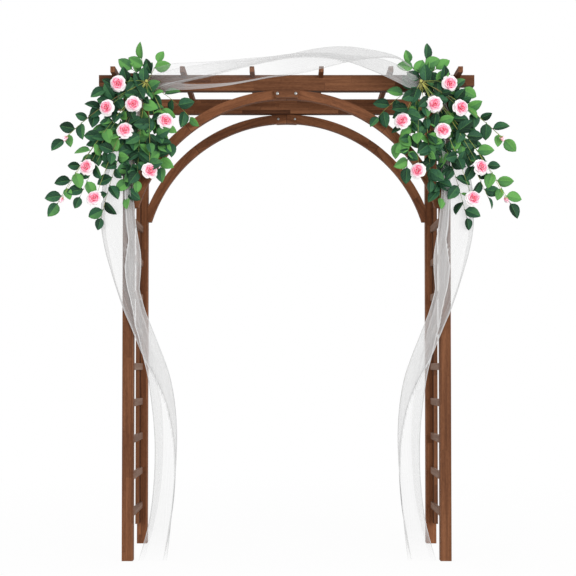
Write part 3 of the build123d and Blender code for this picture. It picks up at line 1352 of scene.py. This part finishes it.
    def build_stems(self, blooms: Sequence[tuple[Matrix, bool]]) -> bpy.types.Object:
        """Models the hub, the stems and the cups under the blooms.

        Args:
            blooms: The frame of each bloom.

        Returns:
            The piece.
        """
        parts = [self.tube(line, self.stem_radius, self.stem_taper) for line in self.lines]
        ends = sorted(place.y for place in self.hub_solid)
        root = [Vector((self.hub.x, y, self.hub.z)) for y in (ends[-1], self.hub.y, ends[0])]
        parts.append(self.tube(root, self.hub_radius, self.hub_taper))
        cup = self.calyx()
        parts += [copy_of(cup, place) for place, _ in blooms]
        discard(cup)
        return join(parts, f"{self.side.value}_rose_stems")

    def solid_leaves(self) -> list[tuple[Vector, Vector]]:
        """Stalk and tip of the leaves that the CAD node has.

        Returns:
            Two places for each leaf.
        """
        found = []
        for corners in islands(self.node("leaves")):
            pairs = ((a, b) for a in corners for b in corners)
            ends = max(pairs, key=lambda pair: (pair[0] - pair[1]).length_squared)
            found.append(tuple(sorted(ends, key=self.off_stem)))
        return found

    def hides_rose(self, *places: Vector) -> bool:
        """Whether something would stand in front of an open rose.

        Args:
            places: Where it is.

        Returns:
            True if one of the places is too near a rose, seen from the front.
        """
        return any(
            math.hypot(place.x - rose.x, place.z - rose.z) < self.rose_room
            for place in places
            for rose in self.roses
        )

    def thick_leaves(self) -> list[tuple[Vector, Vector]]:
        """Stalk and tip of further leaves, on the stems in the bush's heart and round its hub.

        Returns:
            Two places for each leaf.
        """
        sign = 1 if self.side is Side.LEFT else -1
        found: list[tuple[Vector, Vector]] = []
        middles: list[Vector] = []
        wanted = 0
        for cluster in self.clusters:
            centre = self.hub + Vector((sign * cluster.dx, 0, cluster.dz))
            wanted += cluster.count
            for _ in range(cluster.count * self.tries):
                line = self.chance.choice(self.lines)
                at = self.chance.uniform(*self.leaf_places) * (len(line) - 1)
                i = min(int(at), len(line) - 2)
                base = line[i].lerp(line[i + 1], at - i)
                angle = math.radians(self.chance.uniform(*self.leaf_turns))
                along = Matrix.Rotation(angle, 3, FRONT) @ (line[i + 1] - line[i]).normalized()
                tip = base + along * self.leaf.length * self.chance.uniform(*self.leaf_sizes)
                off = base - centre
                far = math.hypot(off.x / cluster.reach_x, off.z / cluster.reach_z) > 1
                if len(found) == wanted or far:
                    continue
                mid = base.lerp(tip, 0.5)
                crowded = any((mid - other).xz.length < self.leaf_room for other in middles)
                if not crowded and not self.hides_rose(mid, tip):
                    found.append((base, tip))
                    middles.append(mid)
        return found

    def build_leaves(self) -> bpy.types.Object:
        """Sets the leaves, each turned a little its own way and with its own green.

        Returns:
            The piece.
        """
        pattern = self.leaf.build()
        parts = []
        for leaves, lifts, greens in (
            (self.solid_leaves(), self.solid_lifts, self.solid_greens),
            (self.thick_leaves(), self.thick_lifts, self.thick_greens),
        ):
            for base, tip in leaves:
                along = tip - base
                roll = turned(self.chance.gauss(0, self.leaf_roll), "X")
                lift = self.chance.uniform(*lifts)
                if self.hides_rose(base.lerp(tip, 0.5), tip):
                    lift = abs(lift) * self.clear_lift
                size = Matrix.Scale(along.length / self.leaf.length, 4)
                place = look_frame(base, along, FRONT) @ turned(lift, "Y") @ roll @ size
                leaf = copy_of(pattern, place)
                fresh = base.z > self.hub.z + self.fresh_above
                weights = self.fresh_greens if fresh else greens
                tone = self.chance.choices(self.greens, weights)[0]
                paint_points(leaf, "tone", tone + self.chance.uniform(*self.green_spread))
                parts.append(leaf)
        discard(pattern)
        return join(parts, f"{self.side.value}_rose_leaves")

    def build_roses(self, blooms: Sequence[tuple[Matrix, bool]]) -> bpy.types.Object:
        """Sets a rose or a bud where each bloom's solid is.

        Args:
            blooms: The frame of each bloom, and whether it is open.

        Returns:
            The piece.
        """
        rose = self.rose.bloom(self.rose.rings, "open_rose")
        bud = self.rose.bloom(self.rose.bud_rings, "rosebud")
        parts = [copy_of(rose if is_open else bud, place) for place, is_open in blooms]
        discard(rose, bud)
        return join(parts, f"{self.side.value}_roses")


def smooth_path(values: np.ndarray, places: np.ndarray, wanted: np.ndarray) -> np.ndarray:
    """Cubic Hermite curve through values at given places.

    Args:
        values: One row for each place.
        places: Rising numbers.
        wanted: Where the curve is read.

    Returns:
        One row for each wanted place.
    """
    slopes = np.gradient(values, places, axis=0)
    index = np.clip(np.searchsorted(places, wanted, side="right") - 1, 0, len(places) - 2)
    span = (places[index + 1] - places[index])[:, None]
    t = (wanted - places[index])[:, None] / span
    first, second = values[index], values[index + 1]
    out, into = slopes[index] * span, slopes[index + 1] * span
    return (
        first * (2 * t**3 - 3 * t**2 + 1)
        + out * (t**3 - 2 * t**2 + t)
        + second * (3 * t**2 - 2 * t**3)
        + into * (t**3 - t**2)
    )


def running_sum(steps: np.ndarray) -> np.ndarray:
    """Sums of the steps so far, from 0 to their whole."""
    return np.concatenate(((0.0,), np.cumsum(steps)))


@dataclass
class TulleLength:
    """One length of the scarf, folded to and fro between lines that run along it.

    A station gives a place along the length, how far out the cloth starts there, the places
    across of its first hem, of its folds and of its last hem, and the density of each layer
    between these lines. The marks say how clearly each line shows.
    """

    name: str
    node: str
    stations: Sequence[Sequence[float]]
    marks: Sequence[float]
    run: Vector
    across: Vector
    cut_width: float
    held: str
    rests_on: tuple[str, ...]
    material: bpy.types.Material
    origin: Vector = field(default_factory=Vector)
    layer_gap: float = 0.006
    rows: int = 110
    lanes: int = 26
    # Ripples of each layer: height, number, turn from layer to layer, and sway along the length
    ripple: float = 0.0016
    ripples: float = 2.5
    ripple_turn: float = 1.7
    ripple_sway: float = 3.0
    sway_rate: float = 4.0
    full_ripple_span: float = 0.08
    hem_width: float = 0.0032
    hem_core: float = 1.5
    fade_length: float = 1e-6
    fade_least: float = 0.05

    def section(self, lines: np.ndarray, layer: np.ndarray, share: float) -> np.ndarray:
        """Cross-section of the cloth at one row.

        Args:
            lines: Places across of the hems and folds.
            layer: The layer that each edge between the lanes is in.
            share: How far along the length the row is, from 0 to 1.

        Returns:
            Places across and outward, one row for each edge between the lanes.
        """
        t = np.arange(len(layer)) / self.lanes - layer
        span = lines[layer + 1] - lines[layer]
        across = lines[layer] + span * (1 - np.cos(math.pi * t)) / 2
        sway = self.ripple_sway * math.sin(self.sway_rate * share)
        wave = np.sin(math.tau * self.ripples * t + self.ripple_turn * layer + sway)
        height = self.ripple * np.minimum(1, np.abs(span) / self.full_ripple_span)
        return np.column_stack((across, self.layer_gap * (layer + t) + wave * height))

    def build(self) -> None:
        stations = np.array(self.stations)
        layers = len(self.marks) - 1
        lanes = layers * self.lanes
        layer = np.minimum(np.arange(lanes + 1) // self.lanes, layers - 1)
        cloth = new_grid(lanes, self.rows, 1.0, self.name)
        runs = running_sum(np.abs(np.diff(stations[:, 0])))
        wanted = np.linspace(0, runs[-1], self.rows + 1)
        places, flat, hems, dense = [], [], [], []
        for row, values in enumerate(smooth_path(stations, runs, wanted)):
            (along, start), lines, covers = np.split(values, (2, layers + 3))
            section = self.section(lines, layer, row / self.rows)
            arc = running_sum(np.linalg.norm(np.diff(section, axis=0), axis=1))
            off_line = np.abs(section[:, :1] - lines) / self.hem_width
            hems.append((np.clip(self.hem_core - off_line, 0, 1) * self.marks).max(axis=1))
            dense.append(covers[layer])
            for (across, out), length in zip(section, arc / arc[-1]):
                outward = FRONT * (start + out)
                places.append(self.origin + self.run * along + self.across * across + outward)
                flat.append((length * self.cut_width, wanted[row]))
        cloth.data.vertices.foreach_set("co", np.array(places, np.float32).ravel())
        uv = cloth.data.uv_layers.active.data
        for loop in cloth.data.loops:
            uv[loop.index].uv = flat[loop.vertex_index]
        to_end = np.clip((runs[-1] - np.array(flat)[:, 1]) / self.fade_length, 0, 1)
        paint_points(cloth, "hem", np.concatenate(hems))
        paint_points(cloth, "fade", self.fade_least + (1 - self.fade_least) * to_end)
        paint_points(cloth, "dense", np.concatenate(dense))
        edit(cloth)
        bpy.ops.mesh.select_all(action="SELECT")
        bpy.ops.mesh.normals_make_consistent(inside=False)
        bpy.ops.object.mode_set(mode="OBJECT")
        bpy.ops.object.shade_smooth()
        finish_piece(cloth, self.node, self.material)


@dataclass
class TulleScarf:
    """The scarf in three lengths: a swag over the top and a drape at each front post."""

    drape_net: bpy.types.Material
    swag_net: bpy.types.Material
    cut: float = 0.195
    mirror_offset: float = 0.003
    drape_fade: float = 0.14
    # How clearly the drape's lines show, in the order of its rows
    drape_marks: tuple[float, ...] = (0.5, 1.0, 0.85, 1.0, 0.15)
    # Height, distance in front of the middle, X of turned-back hem, edge, fold, fold and hem, and
    # the density of the four layers between them
    drape_rows: tuple[tuple[float, ...], ...] = (
        (2.053, 0.247, -0.664, -0.668, -0.616, -0.650, -0.632, 1, 1, 1, 1),
        (1.577, 0.247, -0.788, -0.806, -0.665, -0.701, -0.675, 1, 1, 1, 1),
        (1.516, 0.247, -0.790, -0.807, -0.659, -0.697, -0.671, 1, 1, 1, 1),
        (1.455, 0.247, -0.789, -0.807, -0.653, -0.693, -0.664, 1, 1, 1, 1),
        (1.394, 0.247, -0.782, -0.799, -0.643, -0.686, -0.656, 1, 1, 1, 1),
        (1.329, 0.247, -0.770, -0.785, -0.632, -0.694, -0.647, 1, 1, 1, 1),
        (1.264, 0.248, -0.757, -0.766, -0.631, -0.700, -0.646, 1, 1, 1, 1),
        (1.211, 0.248, -0.743, -0.750, -0.635, -0.695, -0.648, 1, 1, 1, 1),
        (1.177, 0.249, -0.732, -0.739, -0.637, -0.688, -0.649, 1, 1, 1, 1),
        (1.133, 0.249, -0.717, -0.724, -0.626, -0.677, -0.640, 1, 1, 1, 1),
        (1.081, 0.250, -0.698, -0.705, -0.611, -0.665, -0.627, 1, 1, 1, 1),
        (1.024, 0.250, -0.674, -0.680, -0.589, -0.656, -0.608, 1, 1, 1, 1),
        (0.959, 0.251, -0.648, -0.653, -0.563, -0.638, -0.593, 1, 1, 1, 1),
        (0.894, 0.252, -0.622, -0.626, -0.537, -0.623, -0.582, 1, 1.2, 0.85, 1),
        (0.807, 0.254, -0.574, -0.576, -0.506, -0.601, -0.562, 1, 1.3, 0.75, 1),
        (0.698, 0.255, -0.525, -0.527, -0.484, -0.585, -0.541, 1, 1.4, 0.65, 1),
        (0.568, 0.256, -0.493, -0.495, -0.473, -0.571, -0.531, 1, 1.4, 0.65, 1),
        (0.438, 0.256, -0.480, -0.482, -0.475, -0.568, -0.533, 1, 1.4, 0.65, 1),
        (0.285, 0.256, -0.485, -0.487, -0.488, -0.577, -0.546, 1, 1.4, 0.65, 1),
        (0.155, 0.256, -0.502, -0.504, -0.499, -0.596, -0.572, 1, 1.4, 0.65, 1),
        (0.006, 0.256, -0.530, -0.533, -0.515, -0.637, -0.612, 1, 1.4, 0.65, 1),
    )
    # How clearly the swag's lines show, in the order of its rows
    swag_marks: tuple[float, ...] = (0.7, 0.1, 0.35, 0.9, 0.2)
    # X, distance in front of the middle, height of hem, crease, fold, fold and hem, and the
    # density of the four layers between them
    swag_rows: tuple[tuple[float, ...], ...] = (
        (-0.625, 0.251, 2.060, 2.078, 2.100, 2.066, 2.088, 1.3, 0.1, 0.4, 0.4),
        (-0.587, 0.262, 2.030, 2.062, 2.131, 2.049, 2.101, 1.3, 0.1, 0.4, 0.4),
        (-0.544, 0.285, 2.028, 2.064, 2.137, 2.047, 2.107, 1.5, 0.1, 0.45, 0.45),
        (-0.501, 0.306, 2.030, 2.063, 2.142, 2.054, 2.114, 1.7, 0.1, 0.55, 0.55),
        (-0.415, 0.306, 2.034, 2.056, 2.148, 2.073, 2.130, 1.9, 0.1, 0.65, 0.65),
        (-0.329, 0.306, 2.041, 2.057, 2.152, 2.092, 2.143, 2.1, 0.1, 0.85, 0.8),
        (-0.243, 0.306, 2.053, 2.062, 2.159, 2.114, 2.151, 2.8, 0.14, 1.2, 1.1),
        (-0.157, 0.306, 2.069, 2.075, 2.167, 2.135, 2.157, 2.8, 0.2, 1.5, 1.4),
        (-0.072, 0.306, 2.085, 2.091, 2.174, 2.153, 2.170, 2.4, 0.6, 1.7, 1.6),
        (0.014, 0.306, 2.096, 2.102, 2.185, 2.167, 2.182, 1.6, 1.1, 1.6, 1.9),
        (0.100, 0.306, 2.112, 2.117, 2.204, 2.171, 2.186, 1.5, 1.3, 1.6, 2.3),
        (0.186, 0.306, 2.133, 2.138, 2.216, 2.165, 2.185, 1.5, 1.3, 1.6, 2.3),
        (0.272, 0.306, 2.155, 2.160, 2.217, 2.146, 2.176, 1.5, 1.3, 1.5, 1.9),
        (0.358, 0.306, 2.167, 2.171, 2.204, 2.114, 2.168, 2, 1.9, 0.9, 1.7),
        (0.444, 0.306, 2.171, 2.174, 2.185, 2.076, 2.148, 2.2, 2.2, 0.4, 2.1),
        (0.487, 0.300, 2.166, 2.167, 2.170, 2.057, 2.131, 2.2, 2.2, 0.4, 2.1),
        (0.530, 0.275, 2.144, 2.146, 2.148, 2.045, 2.109, 2, 2, 0.5, 1.8),
        (0.573, 0.258, 2.118, 2.119, 2.121, 2.049, 2.096, 1.6, 1.6, 0.6, 1.4),
        (0.600, 0.251, 2.090, 2.091, 2.093, 2.066, 2.080, 1.6, 1.6, 0.6, 1.4),
    )

    def drape(self, side: Side) -> TulleLength:
        """The length that hangs at one post.

        Args:
            side: Which post.

        Returns:
            The length, ready to build.
        """
        left = side is Side.LEFT
        return TulleLength(
            name=f"{side.value}_tulle",
            node=f"{side.value}_tulle_drape",
            stations=self.drape_rows,
            marks=self.drape_marks,
            run=UP,
            across=RIGHT if left else -RIGHT,
            origin=Vector() if left else RIGHT * 2 * self.mirror_offset,
            cut_width=self.cut,
            held="gathered",
            rests_on=(f"front_{side.value}_leg", "front_beam"),
            material=self.drape_net,
            fade_length=self.drape_fade,
        )

    def swag(self) -> TulleLength:
        """The length that runs over the rafters' ends.

        Returns:
            The length, ready to build.
        """
        return TulleLength(
            name="tulle_over_rafters",
            node="tulle_swag",
            stations=self.swag_rows,
            marks=self.swag_marks,
            run=RIGHT,
            across=UP,
            cut_width=self.cut,
            held="draped",
            rests_on=("front_beam", "rafter_2", "rafter_3", "rafter_4", "rafter_5"),
            material=self.swag_net,
        )

    def build(self) -> None:
        """Builds the three lengths."""
        for side in Side:
            self.drape(side).build()
        self.swag().build()


@dataclass(frozen=True)
class Lamp:
    """One soft lamp with a square face."""

    name: str
    place: Triple
    size: float
    watts: float


@dataclass
class Studio:
    """Camera, lamps and pale floor."""

    camera_place: Triple = (0.0, -4.667, 0.831)
    lens: float = 63.65
    pitch: float = 1.2
    # Pixels from the picture's middle to the point where lines through the passage meet
    principal_right: float = -1.35
    principal_down: float = 80.95
    lamps: tuple[Lamp, ...] = (
        Lamp("key_lamp", (4.2, -6.8, 2.0), 4.2, 330.0),
        Lamp("fill_lamp", (-3.6, -4.2, 1.1), 3.0, 80.0),
    )
    lamp_aim: Triple = (0.0, 0.0, 1.0)
    sky: float = 0.70
    floor_size: float = 60.0
    floor_drop: float = 0.0005
    floor_bounce: Colour = (0.5, 0.5, 0.5, 1)
    floor_roughness: float = 0.9
    # Share of plain white that is seen near the arbor, and the distances over which it fills up
    floor_glow: float = 0.94
    glow_from: float = 0.9
    glow_to: float = 3.5

    def camera(self) -> None:
        """Sets the camera at the photograph's place and angle."""
        data = bpy.data.cameras.new("studio_camera")
        data.sensor_width = SENSOR
        data.lens = self.lens
        tilt = math.radians(self.pitch)
        data.shift_x = -self.principal_right / IMAGE_SIZE
        data.shift_y = self.principal_down / IMAGE_SIZE - math.tan(tilt) * self.lens / SENSOR
        camera = put_in_scene("studio_camera", data)
        camera.location = self.camera_place
        camera.rotation_euler = (math.pi / 2 + tilt, 0, 0)
        bpy.context.scene.camera = camera

    def light(self) -> None:
        """Sets the lamps, which point at the middle of the arbor."""
        for lamp in self.lamps:
            data = bpy.data.lights.new(lamp.name, "AREA")
            data.size = lamp.size
            data.energy = lamp.watts
            obj = put_in_scene(lamp.name, data)
            obj.location = lamp.place
            aim = Vector(self.lamp_aim) - Vector(lamp.place)
            obj.rotation_euler = aim.to_track_quat("-Z", "Y").to_euler()

    def seen_directly(self, tree: NodeTree) -> Socket:
        """Mask of the rays that show the background itself.

        Args:
            tree: The tree of the world or the floor.

        Returns:
            The mask's socket.
        """
        path = tree.add("ShaderNodeLightPath")
        seen = tree.math("MAXIMUM", path.outputs["Is Camera Ray"], path.outputs["Is Glossy Ray"])
        return tree.math("MAXIMUM", seen, path.outputs["Is Transmission Ray"])

    def world(self) -> None:
        """Makes an even sky that is seen as white."""
        world = bpy.data.worlds.new("studio_world")
        world.use_nodes = True
        tree = NodeTree(world.node_tree)
        levels = {0: self.seen_directly(tree), 2: self.sky, 3: 1.0}
        level = tree.add("ShaderNodeMix", levels, data_type="FLOAT").outputs[0]
        tree.fill(world.node_tree.nodes["Background"], {"Color": WHITE, "Strength": level})
        bpy.context.scene.world = world

    def floor(self) -> None:
        """Lays a white floor that keeps a soft shadow."""
        deselect_all()
        place = (0, 0, -self.floor_drop)
        bpy.ops.mesh.primitive_plane_add(size=self.floor_size, location=place)
        floor = bpy.context.object
        floor.name = "studio_floor"
        material, tree, shader = new_material("studio_floor")
        seen = self.seen_directly(tree)
        base = tree.ramp(seen, [(0.0, self.floor_bounce), (1.0, WHITE)])
        tree.fill(shader, {"Base Color": base, "Roughness": self.floor_roughness})
        glow = tree.add("ShaderNodeEmission", {"Color": WHITE, "Strength": 1.0})
        away = tree.add("ShaderNodeVectorMath", {0: tree.coords()}, operation="LENGTH")
        fade = tree.add(
            "ShaderNodeMapRange",
            {
                "Value": away.outputs["Value"],
                "From Min": self.glow_from,
                "From Max": self.glow_to,
                "To Min": self.floor_glow,
                "To Max": 1.0,
            },
        )
        share = tree.math("MULTIPLY", seen, fade.outputs[0])
        looks = {0: share, 1: shader.outputs[0], 2: glow.outputs[0]}
        mixed = tree.add("ShaderNodeMixShader", looks).outputs[0]
        tree.fill(material.node_tree.nodes["Material Output"], {"Surface": mixed})
        floor.data.materials.append(material)

    def build(self) -> None:
        """Sets up the whole studio."""
        self.camera()
        self.light()
        self.world()
        self.floor()
        bpy.context.scene.view_settings.view_transform = "Standard"


def main() -> None:
    """Builds the arbor's looks in order."""
    logging.basicConfig(level=logging.INFO, format="%(name)s: %(message)s")
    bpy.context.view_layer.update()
    Studio().build()
    TimberFrame(TIMBER).dress()
    steel = SteelFinish().material()
    for node in ("beam_bolts", "arch_bolts"):
        CoachBolts(node, steel).build()
    bush_finishes = [finish().material() for finish in (LeafFinish, PetalFinish, StemFinish)]
    for side, seed in ((Side.LEFT, 11), (Side.RIGHT, 12)):
        RoseBush(side, seed, *bush_finishes).build()
    # A greyer copy of the net for the swag: painted shade, as the swag over the beam gets less
    # light
    swag_finish = TulleFinish(
        name="tulle_net_shaded",
        grey=(0.50, 0.50, 0.50, 1),
        white=(0.63, 0.63, 0.63, 1),
        cover=0.23,
        hem_cover=0.65,
    )
    TulleScarf(TulleFinish().material(), swag_finish.material()).build()


if __name__ == "__main__":
    main()
